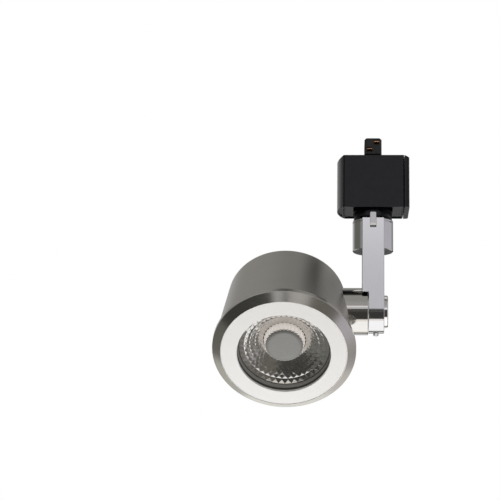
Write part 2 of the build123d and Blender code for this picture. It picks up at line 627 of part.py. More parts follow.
with BuildPart() as pivot_hub:
    hub_root_x = HEAD_X + PAD_RADIUS - 1.5
    disc(side_plane(HUB_FACE_X), HUB_RADIUS, hub_root_x - HUB_FACE_X)
    chamfer(circles(pivot_hub, HUB_RADIUS).sort_by(Axis.X)[-1], 0.4)
    add(barrel_form.part, mode=Mode.SUBTRACT)
    disc(side_plane(HUB_FACE_X), AXLE_RADIUS, axle_start_x - HUB_FACE_X, mode=Mode.SUBTRACT)
    disc(side_plane(axle_start_x), AXLE_BORE, -ARM_WIDTH, mode=Mode.SUBTRACT)
    disc(side_plane(hub_root_x), HUB_SCREW_RADIUS, 12, hub_screw_points, Mode.SUBTRACT)
    # curved groove for the stop pin, which sets the tilt range
    with BuildSketch(Plane.YZ.offset(HUB_FACE_X)):
        with BuildLine() as stop_path:
            CenterArc((0, TILT_Z), STOP_RADIUS, -TILT_EACH_WAY, 2 * TILT_EACH_WAY)
        SlotArc(arc=stop_path.edges()[0], height=2 * (STOP_PIN_RADIUS + GAP))
    extrude(amount=-STOP_GROOVE_DEPTH, mode=Mode.SUBTRACT)
pivot_hub.part.label = "pivot_hub"
export_step(pivot_hub.part, "parts/pivot_hub.step")

with BuildPart() as hub_screws:
    # the seat faces inwards, so the shanks run out through the pad into the hub
    inward = Plane(origin=(pad_x, 0, TILT_Z), x_dir=head_up, z_dir=(-1, 0, 0))
    screws(inward, hub_screw_points, HUB_SCREW_RADIUS, 10.5)
hub_screws.part.label = "hub_screws"
export_step(hub_screws.part, "parts/hub_screws.step")

with BuildPart() as rear_cover:
    disc(head_plane(BARREL_BACK), COVER_RADIUS - CLEAR, COVER_FRONT - BARREL_BACK)
    chamfer(circles(rear_cover, COVER_RADIUS - CLEAR).sort_by(head_axis)[0], 0.5)
    with BuildSketch(head_plane(BARREL_BACK)):
        with PolarLocations(VENT_RADIUS, VENT_COUNT):
            SlotOverall(VENT_LENGTH, VENT_WIDTH)
    extrude(amount=COVER_FRONT - BARREL_BACK, mode=Mode.SUBTRACT)
    cover_holes = around(COVER_SCREW_RADIUS, 3, 30)
    disc(head_plane(BARREL_BACK), 1.1, COVER_FRONT - BARREL_BACK, cover_holes, Mode.SUBTRACT)
    disc(head_plane(BARREL_BACK), 2.1, 1.1, cover_holes, Mode.SUBTRACT)
rear_cover.part.label = "rear_cover"
export_step(rear_cover.part, "parts/rear_cover.step")

with BuildPart() as cover_screws:
    back_facing = Plane(origin=head_plane(BARREL_BACK + 1.1).origin, x_dir=(1, 0, 0), z_dir=-aim)
    cover_points = [(x, -y) for x, y in around(COVER_SCREW_RADIUS, 3, 30)]
    screws(back_facing, cover_points, 1.0, 2.8, 0.9)
cover_screws.part.label = "cover_screws"
export_step(cover_screws.part, "parts/cover_screws.step")

# ------------------------------------------------------------------ driver, behind the heat sink
standoffs = around(STANDOFF_RADIUS, 3, 90)

with BuildPart() as driver_tray:
    tray_section = [
        (0, TRAY_BACK),
        (TRAY_RADIUS, TRAY_BACK),
        (TRAY_RADIUS, SINK_BACK - 0.5),
        (TRAY_RADIUS - 1.2, SINK_BACK - 0.5),
        (TRAY_RADIUS - 1.2, TRAY_BACK + 1.2),
        (0, TRAY_BACK + 1.2),
    ]
    turn(tray_section, head_section, head_axis)
    disc(head_plane(TRAY_BACK + 1.2), 2.2, BOARD_BACK - TRAY_BACK - 1.2, standoffs)
driver_tray.part.label = "driver_tray"
export_step(driver_tray.part, "parts/driver_tray.step")

with BuildPart() as driver_board:
    disc(head_plane(BOARD_BACK), TRAY_RADIUS - 1.6, BOARD_FRONT - BOARD_BACK)
    disc(head_plane(BOARD_BACK), 1.2, 3, standoffs, Mode.SUBTRACT)
driver_board.part.label = "driver_board"
export_step(driver_board.part, "parts/driver_board.step")

board = head_plane(BOARD_FRONT)
with BuildPart() as transformer_core:
    block(board, 18, 15, 10.5, (-9, 3))
    block(board, 12, 15, 8, (-9, 3), Mode.SUBTRACT)
    block(board, 4, 15, 10.5, (-9, 3))
transformer_core.part.label = "transformer_core"
export_step(transformer_core.part, "parts/transformer_core.step")

with BuildPart() as transformer_winding:
    for side in (-1, 1):
        block(board.offset(0.4), 3.8, 11, 7.2, (-9 + side * 4, 3))
transformer_winding.part.label = "transformer_winding"
export_step(transformer_winding.part, "parts/transformer_winding.step")

with BuildPart() as bulk_capacitor:
    disc(board, 4.6, 11.5, [(11, 10)])
    fillet(circles(bulk_capacitor, 4.6), 0.6)
bulk_capacitor.part.label = "bulk_capacitor"
export_step(bulk_capacitor.part, "parts/bulk_capacitor.step")

with BuildPart() as film_capacitor:
    block(board, 12, 5.5, 9, (10, -3))
    fillet(film_capacitor.edges(), 0.5)
film_capacitor.part.label = "film_capacitor"
export_step(film_capacitor.part, "parts/film_capacitor.step")

with BuildPart() as filter_choke:
    with BuildSketch(board):
        with Locations((0, -18)):
            Circle(6.5)
            Circle(3, mode=Mode.SUBTRACT)
    extrude(amount=5.5)
    fillet(filter_choke.edges(), 1.2)
filter_choke.part.label = "filter_choke"
export_step(filter_choke.part, "parts/filter_choke.step")

# ------------------------------------------------------------------ heat sink and light engine
led = head_plane(SINK_FRONT)
holder_points = [(-11.8, 0), (11.8, 0)]

with BuildPart() as heat_sink:
    disc(head_plane(SINK_BACK), SINK_RADIUS, SINK_FRONT - SINK_BACK)
    with BuildSketch(led):
        with PolarLocations(FIN_CENTRE, FIN_COUNT):
            Rectangle(FIN_LENGTH, FIN_THICKNESS)
    extrude(amount=FIN_HEIGHT)
    sink_screw_points = around(LUG_RADIUS, 3, sink_lug_angles[0])
    disc(head_plane(SINK_BACK), 1.55, 20, sink_screw_points, Mode.SUBTRACT)
    # flats for the screw heads among the fins
    disc(led, 3.6, 20, sink_screw_points, Mode.SUBTRACT)
    disc(led, 1.0, -3.5, holder_points, Mode.SUBTRACT)
    disc(head_plane(SINK_BACK), 2.5, 5, [(0, 21)], Mode.SUBTRACT)
heat_sink.part.label = "heat_sink"
export_step(heat_sink.part, "parts/heat_sink.step")

with BuildPart() as heat_sink_screws:
    screws(led, sink_screw_points, 1.25, 8)
heat_sink_screws.part.label = "heat_sink_screws"
export_step(heat_sink_screws.part, "parts/heat_sink_screws.step")

with BuildPart() as thermal_pad:
    block(led, 19, 19, 0.4)
thermal_pad.part.label = "thermal_pad"
export_step(thermal_pad.part, "parts/thermal_pad.step")

with BuildPart() as led_board:
    block(led.offset(0.4), 19, 19, 1.5)
led_board.part.label = "led_board"
export_step(led_board.part, "parts/led_board.step")

with BuildPart() as led_emitter:
    disc(led.offset(1.9), 6, 0.6)
led_emitter.part.label = "led_emitter"
export_step(led_emitter.part, "parts/led_emitter.step")

with BuildPart() as led_holder:
    disc(led, 14.8, 4)
    block(led, 19.2, 19.2, 1.95, mode=Mode.SUBTRACT)
    disc(led, 9, 4, mode=Mode.SUBTRACT)
    chamfer(circles(led_holder, 9).sort_by(head_axis)[-1], 1)
    disc(led, 1.1, 4, holder_points, Mode.SUBTRACT)
    disc(led.offset(2.5), 2, 2, holder_points, Mode.SUBTRACT)
led_holder.part.label = "led_holder"
export_step(led_holder.part, "parts/led_holder.step")

with BuildPart() as holder_screws:
    screws(led.offset(2.5), holder_points, 1.0, 5.5, 1.3)
holder_screws.part.label = "holder_screws"
export_step(holder_screws.part, "parts/holder_screws.step")

# ------------------------------------------------------------------ optics and front
LENS_FOOT = 17.0
LENS_FOOT_RADIUS = 9.0
lens_neck = (LENS_VIEW_RADIUS - 0.6, LENS_FLANGE_BACK)
well_top = (LENS_WELL_RADIUS + 0.8, TRIM_BACK)

with BuildPart() as lens:
    with BuildSketch(head_section):
        with BuildLine():
            Polyline(
                (LENS_FOOT_RADIUS, LENS_FOOT),
                (7.0, LENS_FOOT),
                (6.2, LENS_FOOT + 8),
                (0, LENS_FOOT + 10),
                (0, LENS_WELL_FLOOR),
                (LENS_WELL_RADIUS, LENS_WELL_FLOOR),
                well_top,
                (LENS_FLANGE_RADIUS, TRIM_BACK),
                (LENS_FLANGE_RADIUS, LENS_FLANGE_BACK),
                lens_neck,
            )
            ThreePointArc(lens_neck, (20.5, 29.5), (LENS_FOOT_RADIUS, LENS_FOOT))
        make_face()
    revolve(axis=head_axis)
lens.part.label = "lens"
export_step(lens.part, "parts/lens.step")

holder_front = TRIM_BACK - 0.1
holder_rim = LENS_FLANGE_RADIUS + 1.4
with BuildPart() as lens_holder:
    lens_holder_section = [
        (lens_neck[0] + 0.3, LENS_FLANGE_BACK),
        (LENS_FLANGE_RADIUS + CLEAR, LENS_FLANGE_BACK),
        (LENS_FLANGE_RADIUS + CLEAR, holder_front),
        (holder_rim, holder_front),
        (holder_rim, LENS_FLANGE_BACK - 2.4),
        (17.5, SINK_FRONT),
        (15.5, SINK_FRONT),
        (28.2, LENS_FLANGE_BACK - 4.4),
    ]
    turn(lens_holder_section, head_section, head_axis)
lens_holder.part.label = "lens_holder"
export_step(lens_holder.part, "parts/lens_holder.step")

with BuildPart() as trim_ring:
    trim_section = [
        (LENS_VIEW_RADIUS, TRIM_BACK),
        (TRIM_RADIUS, TRIM_BACK),
        (TRIM_RADIUS, TRIM_FACE),
        (LENS_VIEW_RADIUS, TRIM_FACE),
    ]
    turn(trim_section, head_section, head_axis)
    fillet(circles(trim_ring, LENS_VIEW_RADIUS).sort_by(head_axis)[-1], 0.4)
trim_ring.part.label = "trim_ring"
export_step(trim_ring.part, "parts/trim_ring.step")

ledge_back = TRIM_BACK - 1.8
with BuildPart() as bezel:
    bezel_section = [
        (BEZEL_RADIUS, BEZEL_BACK),
        (BEZEL_RADIUS, BEZEL_EDGE),
        (TRIM_RADIUS + CLEAR + 0.2, HEAD_FRONT),
        (TRIM_RADIUS + CLEAR, HEAD_FRONT),
        (TRIM_RADIUS + CLEAR, TRIM_BACK),
        (holder_rim + 0.5, TRIM_BACK),
        (holder_rim + 0.5, ledge_back),
        (SKIRT_RADIUS - 1.4, ledge_back),
        (SKIRT_RADIUS - 1.4, SKIRT_BACK),
        (SKIRT_RADIUS, SKIRT_BACK),
        (SKIRT_RADIUS, BEZEL_BACK),
    ]
    turn(bezel_section, head_section, head_axis)
    fillet(circles(bezel, BEZEL_RADIUS), 0.3)
bezel.part.label = "bezel"
export_step(bezel.part, "parts/bezel.step")

with BuildPart() as bezel_gasket:
    gasket_section = [
        (SKIRT_RADIUS + CLEAR, BARREL_FRONT),
        (FRONT_RADIUS - 0.8, BARREL_FRONT),
        (FRONT_RADIUS - 0.8, BEZEL_BACK),
        (SKIRT_RADIUS + CLEAR, BEZEL_BACK),
    ]
    turn(gasket_section, head_section, head_axis)
bezel_gasket.part.label = "bezel_gasket"
export_step(bezel_gasket.part, "parts/bezel_gasket.step")
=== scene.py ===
import json
from math import cos, pi, sin

import bmesh
import bpy
from mathutils import Matrix, Vector


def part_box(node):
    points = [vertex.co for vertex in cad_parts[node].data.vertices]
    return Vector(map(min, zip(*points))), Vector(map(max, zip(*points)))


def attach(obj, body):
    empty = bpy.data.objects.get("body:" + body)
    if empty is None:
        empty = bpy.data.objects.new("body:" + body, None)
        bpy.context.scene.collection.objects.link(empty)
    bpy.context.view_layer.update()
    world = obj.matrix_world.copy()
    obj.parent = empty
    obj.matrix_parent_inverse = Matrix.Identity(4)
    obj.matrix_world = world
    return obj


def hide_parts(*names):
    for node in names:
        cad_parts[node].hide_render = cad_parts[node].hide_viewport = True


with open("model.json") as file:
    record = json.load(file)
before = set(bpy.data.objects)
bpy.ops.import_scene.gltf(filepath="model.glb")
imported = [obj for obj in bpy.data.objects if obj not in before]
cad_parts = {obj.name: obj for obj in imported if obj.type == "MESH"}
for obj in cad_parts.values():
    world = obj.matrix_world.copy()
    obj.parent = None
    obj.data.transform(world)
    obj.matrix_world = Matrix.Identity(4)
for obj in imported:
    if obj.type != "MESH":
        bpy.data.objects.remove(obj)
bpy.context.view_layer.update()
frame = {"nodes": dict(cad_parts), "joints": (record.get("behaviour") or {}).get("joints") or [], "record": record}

# Looks of the track spotlight. Lengths are metres in the CAD frame: +Z up into the track, the head aims
# towards -Y. MM turns millimetres into metres. Head pieces are drawn round the head's own axis, where
# "along" is the distance in front of the tilt axis.
MM = 0.001
cad = frame["nodes"]

tilt_joint = next(joint for joint in frame["joints"] if joint["name"] == "tilt")
tilt_height = tilt_joint["pos_m"][2]
bezel_low, bezel_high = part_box("bezel")
HEAD_CENTRE = Vector(((bezel_low.x + bezel_high.x) / 2, 0, tilt_height))
AIM = Vector((0, -1, -1)).normalized()
HEAD_UP = Vector((0, -1, 1)).normalized()
ARM_TURN_CENTRE = Vector((0, 0, tilt_height))


# ------------------------------------------------------------------ node and material helpers
# where a Mix node keeps its colour inputs and its colour output
MIX_FIRST_COLOUR, MIX_SECOND_COLOUR, MIX_COLOUR_RESULT = 6, 7, 2

# brush lines and clouds of turned metal: cycles per metre across them, and per radian round the axis
LINES_ACROSS = 9000.0
LINES_ROUND, CLOUDS_ROUND = 5.0, 2.5
CLOUDS_OUTWARDS, CLOUDS_ALONG = 500.0, 300.0
CLOUD_SCALE = 0.4
LINES_SHARE, CLOUDS_SHARE = 0.6, 0.4
BRUSH_DEPTH = 0.001 * MM
TURNED_EDGE = 0.15 * MM


def add_node(tree, kind, sockets=None, **settings):
    """Adds a shader node; sockets gives each input a value or another node's output."""
    made = tree.nodes.new(kind)
    for name, value in settings.items():
        setattr(made, name, value)
    for name, value in (sockets or {}).items():
        if isinstance(value, bpy.types.NodeSocket):
            tree.links.new(value, made.inputs[name])
        else:
            made.inputs[name].default_value = value
    return made


def calculate(tree, operation, first, second=0.0):
    """One Math node's result."""
    return add_node(tree, "ShaderNodeMath", {0: first, 1: second}, operation=operation).outputs[0]


def dot(tree, vector, direction):
    """Length of a vector along a fixed direction."""
    made = add_node(tree, "ShaderNodeVectorMath", {0: vector, 1: direction}, operation="DOT_PRODUCT")
    return made.outputs["Value"]


def spread(tree, value, low, high):
    """Maps a 0 to 1 value, such as noise, to a range."""
    sockets = {"Value": value, "To Min": low, "To Max": high}
    return add_node(tree, "ShaderNodeMapRange", sockets).outputs["Result"]


def mix_colours(tree, share, first, second):
    """Blends two colours; first may also be another node's output."""
    mix = tree.nodes.new("ShaderNodeMix")
    mix.data_type = "RGBA"
    tree.links.new(share, mix.inputs["Factor"])
    if isinstance(first, bpy.types.NodeSocket):
        tree.links.new(first, mix.inputs[MIX_FIRST_COLOUR])
    else:
        mix.inputs[MIX_FIRST_COLOUR].default_value = first
    mix.inputs[MIX_SECOND_COLOUR].default_value = second
    return mix.outputs[MIX_COLOUR_RESULT]


def new_material(name, constants):
    """A material whose shader has these constants set on its own sockets."""
    material = bpy.data.materials.new(name)
    material.use_nodes = True
    tree = material.node_tree
    shader = tree.nodes["Principled BSDF"]
    for socket, value in constants.items():
        shader.inputs[socket].default_value = value
    place = add_node(tree, "ShaderNodeTexCoord").outputs["Object"]
    return material, tree, shader, place


def noise(tree, place, scale, detail=2.0):
    """Noise from 0 to 1 at a place that is already scaled, or scaled here."""
    sockets = {"Vector": place, "Scale": scale, "Detail": detail}
    return add_node(tree, "ShaderNodeTexNoise", sockets).outputs["Fac"]


def stretched(tree, place, scales):
    """The place scaled by a different amount along each axis, so that noise turns into brushing."""
    sockets = {0: place, 1: scales}
    return add_node(tree, "ShaderNodeVectorMath", sockets, operation="MULTIPLY").outputs["Vector"]


def tint(tree, shader, value, dark, light):
    """Colours the surface between two close tones."""
    tree.links.new(mix_colours(tree, value, (*dark, 1), (*light, 1)), shader.inputs["Base Color"])


def relief(tree, shader, height, depth, edge=0.0):
    """Bump of a real depth in metres, over edges that are softened by the given radius."""
    sockets = {"Height": height, "Strength": 1.0, "Distance": depth}
    if edge:
        sockets["Normal"] = add_node(tree, "ShaderNodeBevel", {"Radius": edge}, samples=4).outputs[0]
    bump = add_node(tree, "ShaderNodeBump", sockets)
    tree.links.new(bump.outputs["Normal"], shader.inputs["Normal"])


def turned_place(tree, place, centre, axis, side):
    """Radius, angle and distance along an axis, for surfaces that were turned or spun round it."""
    sockets = {0: place, 1: centre}
    offset = add_node(tree, "ShaderNodeVectorMath", sockets, operation="SUBTRACT").outputs["Vector"]
    along = dot(tree, offset, axis)
    across = dot(tree, offset, side)
    over = dot(tree, offset, axis.cross(side))
    radius = calculate(tree, "SQRT", calculate(tree, "ADD", calculate(tree, "MULTIPLY", across, across),
                                               calculate(tree, "MULTIPLY", over, over)))
    angle = calculate(tree, "ARCTAN2", across, over)
    return radius, angle, along


def scaled_apart(tree, values, scales):
    """Three values as one vector, each scaled by its own amount."""
    scaled = [calculate(tree, "MULTIPLY", value, scale) for value, scale in zip(values, scales)]
    return add_node(tree, "ShaderNodeCombineXYZ", dict(enumerate(scaled))).outputs[0]


def turned_metal(name, centre, axis, side, dark, light, roughness, stretch=0.3):
    """Metal with fine brush lines that run round an axis."""
    constants = {"Metallic": 1.0, "Anisotropic": stretch}
    material, tree, shader, place = new_material(name, constants)
    radius, angle, along = turned_place(tree, place, centre, axis, side)
    fine = scaled_apart(tree, (radius, angle, along), (LINES_ACROSS, LINES_ROUND, LINES_ACROSS))
    lines = noise(tree, fine, 1.0, 3.0)
    broad = scaled_apart(tree, (radius, angle, along), (CLOUDS_OUTWARDS, CLOUDS_ROUND, CLOUDS_ALONG))
    clouds = noise(tree, broad, CLOUD_SCALE, 2.0)
    mottle = calculate(tree, "ADD", calculate(tree, "MULTIPLY", lines, LINES_SHARE),
                       calculate(tree, "MULTIPLY", clouds, CLOUDS_SHARE))
    tint(tree, shader, mottle, dark, light)
    tree.links.new(spread(tree, lines, roughness - 0.04, roughness + 0.04), shader.inputs["Roughness"])
    relief(tree, shader, lines, BRUSH_DEPTH, TURNED_EDGE)
    normal = add_node(tree, "ShaderNodeNewGeometry").outputs["Normal"]
    sockets = {0: normal, 1: axis}
    tangent = add_node(tree, "ShaderNodeVectorMath", sockets, operation="CROSS_PRODUCT").outputs["Vector"]
    tree.links.new(tangent, shader.inputs["Tangent"])
    return material


def brushed_metal(name, scales, dark, light, roughness, edge=0.2 * MM):
    """Metal with straight brush lines; scales are small along the lines and large across them."""
    material, tree, shader, place = new_material(name, {"Metallic": 1.0})
    lines = noise(tree, stretched(tree, place, scales), 1.0, 3.0)
    tint(tree, shader, lines, dark, light)
    tree.links.new(spread(tree, lines, roughness - 0.04, roughness + 0.06), shader.inputs["Roughness"])
    relief(tree, shader, lines, BRUSH_DEPTH, edge)
    return material


def moulding(name, dark, light, roughness, grain=2500.0, depth=0.004 * MM, edge=0.25 * MM, **constants):
    """Moulded plastic or rubber: slight cloudiness, a fine grain and softened edges.

    Further keyword arguments are values of the shader's own inputs.
    """
    material, tree, shader, place = new_material(name, constants)
    clouds = noise(tree, place, 90.0, 3.0)
    tint(tree, shader, clouds, dark, light)
    tree.links.new(spread(tree, noise(tree, place, 260.0, 4.0), roughness - 0.05, roughness + 0.05),
                   shader.inputs["Roughness"])
    relief(tree, shader, noise(tree, place, grain, 2.0), depth, edge)
    return material


# ------------------------------------------------------------------ materials
NICKEL_DARK = (0.56, 0.545, 0.52)
NICKEL_LIGHT = (0.66, 0.645, 0.62)
UPRIGHT_LINES = (6000.0, 6000.0, 120.0)
head_axes = (HEAD_CENTRE, AIM, HEAD_UP)
tilt_axes = (ARM_TURN_CENTRE, Vector((1, 0, 0)), Vector((0, 0, 1)))
pan_axes = (Vector((0, 0, 0)), Vector((0, 0, 1)), Vector((1, 0, 0)))

head_nickel = turned_metal("head_nickel", *head_axes, NICKEL_DARK, NICKEL_LIGHT, 0.2)
barrel_nickel = turned_metal("barrel_nickel", *head_axes, NICKEL_DARK, NICKEL_LIGHT, 0.38)
hub_nickel = turned_metal("hub_nickel", *tilt_axes, NICKEL_DARK, NICKEL_LIGHT, 0.09, 0.0)
collar_nickel = turned_metal("collar_nickel", *pan_axes, (0.58, 0.575, 0.58), (0.69, 0.685, 0.69), 0.14,
                             0.0)
cap_nickel = turned_metal("cap_nickel", *tilt_axes, (0.7, 0.69, 0.68), (0.78, 0.77, 0.76), 0.04, 0.0)
arm_nickel = brushed_metal("arm_nickel", UPRIGHT_LINES, (0.58, 0.575, 0.585), (0.67, 0.665, 0.675), 0.09)
tab_nickel = brushed_metal("tab_nickel", UPRIGHT_LINES, (0.42, 0.415, 0.42), (0.5, 0.495, 0.5), 0.12)
steel = brushed_metal("zinc_steel", (3000.0, 3000.0, 3000.0), (0.55, 0.55, 0.53), (0.7, 0.7, 0.68), 0.3,
                      0.1 * MM)
sink_aluminium = brushed_metal("sink_aluminium", (900.0, 900.0, 900.0), (0.6, 0.6, 0.6), (0.72, 0.72, 0.72),
                               0.4)
copper = brushed_metal("contact_copper", (2500.0, 2500.0, 500.0), (0.62, 0.33, 0.2), (0.8, 0.47, 0.3), 0.25,
                       0.1 * MM)
black_plastic = moulding("adapter_plastic", (0.004, 0.0046, 0.0075), (0.0056, 0.0064, 0.01), 0.24, 1500.0,
                         0.001 * MM, 0.25 * MM, IOR=1.38)
plug_plastic = moulding("plug_plastic", (0.02, 0.02, 0.021), (0.03, 0.03, 0.031), 0.5, 1800.0, 0.01 * MM)
white_plastic = moulding("trim_white", (0.83, 0.82, 0.79), (0.87, 0.86, 0.84), 0.42, 1500.0, 0.003 * MM,
                         0.3 * MM)
# dark inner plastic, also used as painted shade in the groove of the optic's white post
dark_plastic_and_painted_shade = moulding("inner_plastic", (0.05, 0.05, 0.047), (0.07, 0.07, 0.066), 0.6)
holder_grey = moulding("holder_grey", (0.3, 0.3, 0.285), (0.37, 0.37, 0.35), 0.5)
rubber = moulding("black_rubber", (0.012, 0.012, 0.012), (0.02, 0.02, 0.02), 0.7, 3000.0, 0.01 * MM)
tape = moulding("winding_tape", (0.7, 0.5, 0.07), (0.8, 0.6, 0.12), 0.4)
board_green = moulding("circuit_board", (0.02, 0.14, 0.06), (0.04, 0.22, 0.09), 0.3)
phosphor = moulding("phosphor", (0.85, 0.66, 0.15), (0.92, 0.76, 0.25), 0.5)
pad_grey = moulding("thermal_grey", (0.42, 0.42, 0.44), (0.5, 0.5, 0.52), 0.8)

slot_looks = {
    "adapter_plastic": black_plastic,
    "plug_plastic": plug_plastic,
    "contact_copper": copper,
    "zinc_steel": steel,
    "arm_nickel": arm_nickel,
    "bright_nickel": cap_nickel,
    "brushed_nickel": head_nickel,
    "trim_white": white_plastic,
    "black_rubber": rubber,
    "inner_plastic": dark_plastic_and_painted_shade,
    "winding_tape": tape,
    "circuit_board": board_green,
    "sink_aluminium": sink_aluminium,
    "phosphor": phosphor,
    "thermal_grey": pad_grey,
}
node_looks = {
    "head_barrel": barrel_nickel,
    "lens_holder": holder_grey,
    "pivot_hub": hub_nickel,
    "collar_ring": collar_nickel,
    "swivel_collar": collar_nickel,
    "pan_stop_tab": tab_nickel,
}
for subpart in frame["record"]["subparts"]:
    name = subpart["node"]
    look = node_looks.get(name, slot_looks.get(subpart["material_slot"]))
    if look is not None:
        cad[name].data.materials.clear()
        cad[name].data.materials.append(look)


# ------------------------------------------------------------------ lens pieces
def head_point(radius, angle, along):
    """A point of the head, with the angle from the head's own up towards +X."""
    side = Vector((1, 0, 0))
    return HEAD_CENTRE + AIM * along + HEAD_UP * (radius * cos(angle)) + side * (radius * sin(angle))


def finish_mesh(shape, name, material, smooth):
    """Makes an object from bmesh data."""
    bmesh.ops.recalc_face_normals(shape, faces=shape.faces)
    for face in shape.faces:
        face.smooth = smooth
    mesh = bpy.data.meshes.new(name)
    shape.to_mesh(mesh)
    shape.free()
    piece = bpy.data.objects.new(name, mesh)
    bpy.context.scene.collection.objects.link(piece)
    mesh.materials.append(material)
    return piece


def spun(name, section, material, steps=160, flute=0.0, painted_shade_edges=(), dark=None):
    """A closed ring made by spinning a closed (radius, along) section, in millimetres, round the head.

    With a flute depth, every second line of the ring is set back, and the ring is left faceted. The edges
    of the section that painted_shade_edges numbers are made of the dark material, as painted shade.
    """
    shape = bmesh.new()
    rings = []
    for step in range(steps):
        angle, back = 2 * pi * step / steps, flute * (step % 2)
        rings.append([shape.verts.new(head_point((radius - back) * MM, angle, along * MM))
                      for radius, along in section])
    for step in range(steps):
        here, there = rings[step], rings[(step + 1) % steps]
        for place in range(len(section)):
            after = (place + 1) % len(section)
            face = shape.faces.new((here[place], here[after], there[after], there[place]))
            face.material_index = int(place in painted_shade_edges)
    bmesh.ops.remove_doubles(shape, verts=shape.verts, dist=0.001 * MM)
    piece = finish_mesh(shape, name, material, flute == 0.0)
    if dark is not None:
        piece.data.materials.append(dark)
    return piece


# the optic's bowl, in millimetres: radii of its inner edge, of the last row of teeth and of its rim
BOWL_INNER, BOWL_TEETH, BOWL_OUTER = 13.4, 25.1, 27.9
# how far along its inner edge and its rim lie
BOWL_DEEP, BOWL_RIM = 31.1, 39.3
BOWL_ROWS, BOWL_COUNT = 8, 42
# each row steps alternately in and out by this much more than the one before
ROW_STEP = 0.012
# for each row: height all round, extra height on the underside, and how far the peak leans inwards
FACET_HEIGHTS = [(0.05 + 0.01 * row, 0.0, 0.0) for row in range(BOWL_ROWS - 2)]
TEETH_HEIGHTS = [(0.1, 0.2, 0.4), (0.1, 0.55, 0.75)]
# the black ledge, wall and flange, and the plain back that closes the shell, as (radius, along)
WALL, FLANGE, SKIRT = 28.95, 30.35, 29.5
FLANGE_FRONT, FLANGE_BACK = 44.3, 42.45
BOWL_SHELL = [(WALL, BOWL_RIM), (WALL, FLANGE_FRONT), (FLANGE, FLANGE_FRONT), (FLANGE, FLANGE_BACK),
              (SKIRT, FLANGE_BACK), (SKIRT, 38.6), (BOWL_INNER, 30.1)]


def facet_bowl(name, mirror, edge_black):
    """The optic's bowl: rows of three-sided pyramids, which are taller near the rim on the underside."""
    shape = bmesh.new()

    def ring(radius, along, turn=0.0):
        return [shape.verts.new(head_point(radius * MM, 2 * pi * place / BOWL_COUNT + turn, along * MM))
                for place in range(BOWL_COUNT)]

    facets_width = BOWL_TEETH - BOWL_INNER
    radii = [BOWL_INNER + facets_width * row / (BOWL_ROWS - 1) for row in range(BOWL_ROWS)] + [BOWL_OUTER]
    slope = (BOWL_RIM - BOWL_DEEP) / (BOWL_OUTER - BOWL_INNER)
    grid = []
    for row, radius in enumerate(radii):
        step = ROW_STEP * row * (-1) ** row * (row < BOWL_ROWS)
        along = BOWL_DEEP + slope * (radius - BOWL_INNER) + step
        grid.append(ring(radius, along, pi / BOWL_COUNT * (row % 2)))
    for row, (height, extra, lean) in enumerate(FACET_HEIGHTS + TEETH_HEIGHTS):
        low, high = grid[row], grid[row + 1]
        for place in range(BOWL_COUNT):
            after = (place + 1) % BOWL_COUNT
            apex = low[place] if row % 2 else low[after]
            corners = (apex, high[place], high[after])
            shape.faces.new((low[place], low[after], high[after if row % 2 else place]))
            middle = sum((corner.co for corner in corners), Vector()) / 3
            underside = max(0.0, -HEAD_UP.dot(middle - HEAD_CENTRE) / (radii[row] * MM))
            rise = (height + extra * underside ** 2) * MM
            peak = shape.verts.new(middle.lerp(apex.co, lean) + AIM * rise)
            for corner in range(3):
                shape.faces.new((corners[corner], corners[(corner + 1) % 3], peak))
    rings = [grid[-1], *[ring(radius, along) for radius, along in BOWL_SHELL], grid[0]]
    for low, high in zip(rings, rings[1:]):
        for place in range(BOWL_COUNT):
            after = (place + 1) % BOWL_COUNT
            shape.faces.new((low[place], low[after], high[after], high[place])).material_index = 1
    piece = finish_mesh(shape, name, mirror, False)
    piece.data.materials.append(edge_black)
    return piece


def mirror_material():
    """Silvery facets of the optic, a little warm, with faint marks of the mould."""
    material, tree, shader, place = new_material("optic_mirror", {"Metallic": 0.93})
    clouds = noise(tree, place, 350.0, 2.0)
    tint(tree, shader, clouds, (0.52, 0.51, 0.49), (0.66, 0.65, 0.63))
    tree.links.new(spread(tree, clouds, 0.05, 0.16), shader.inputs["Roughness"])
    relief(tree, shader, noise(tree, place, 1200.0, 2.0), 0.012 * MM)
    return material


def frosted_side_painted_glow_material():
    """Satin white side of the optic's centre, with a painted glow that stands in for light passing through it."""
    # the emission is a painted glow: the optic is no lamp, and the warm glow stands in for light through it and
    # for the highlight on its bead
    constants = {"Coat Weight": 0.5, "Coat Roughness": 0.1, "Emission Color": (1.0, 0.93, 0.88, 1),
                 "Emission Strength": 0.42}
    material, tree, shader, place = new_material("optic_side_painted_glow", constants)
    clouds = noise(tree, place, 600.0, 3.0)
    tint(tree, shader, clouds, (0.72, 0.67, 0.62), (0.86, 0.82, 0.78))
    tree.links.new(spread(tree, clouds, 0.3, 0.45), shader.inputs["Roughness"])
    relief(tree, shader, clouds, 0.01 * MM)
    return material


def frosted_material():
    """Frosted centre of the optic: matt grey with a fine sparkle grain."""
    constants = {"Coat Weight": 0.15, "Coat Roughness": 0.2}
    material, tree, shader, place = new_material("optic_frosted", constants)
    grain = noise(tree, place, 1400.0, 3.0)
    tint(tree, shader, grain, (0.2, 0.198, 0.188), (0.29, 0.287, 0.275))
    tree.links.new(spread(tree, grain, 0.35, 0.6), shader.inputs["Roughness"])
    relief(tree, shader, grain, 0.06 * MM)
    return material


lens_bowl = facet_bowl("lens_bowl", mirror_material(), dark_plastic_and_painted_shade)

# frosted disc in the middle, slightly crowned; radii and distances along the head in millimetres
DISC_RADIUS, DISC_RIM_RADIUS = 11.7, 11.75
DISC_TOP, DISC_CROWN, DISC_BACK = 37.3, 0.2, 36.3
DISC_RIM = 36.9
crown = [(DISC_RADIUS * share, DISC_TOP - DISC_CROWN * share ** 2) for share in (0.0, 0.25, 0.5, 0.75, 1.0)]
disc_section = [*crown, (DISC_RIM_RADIUS, DISC_RIM), (DISC_RADIUS, DISC_BACK), (0.0, DISC_BACK)]
lens_disc = spun("lens_disc", disc_section, frosted_material())
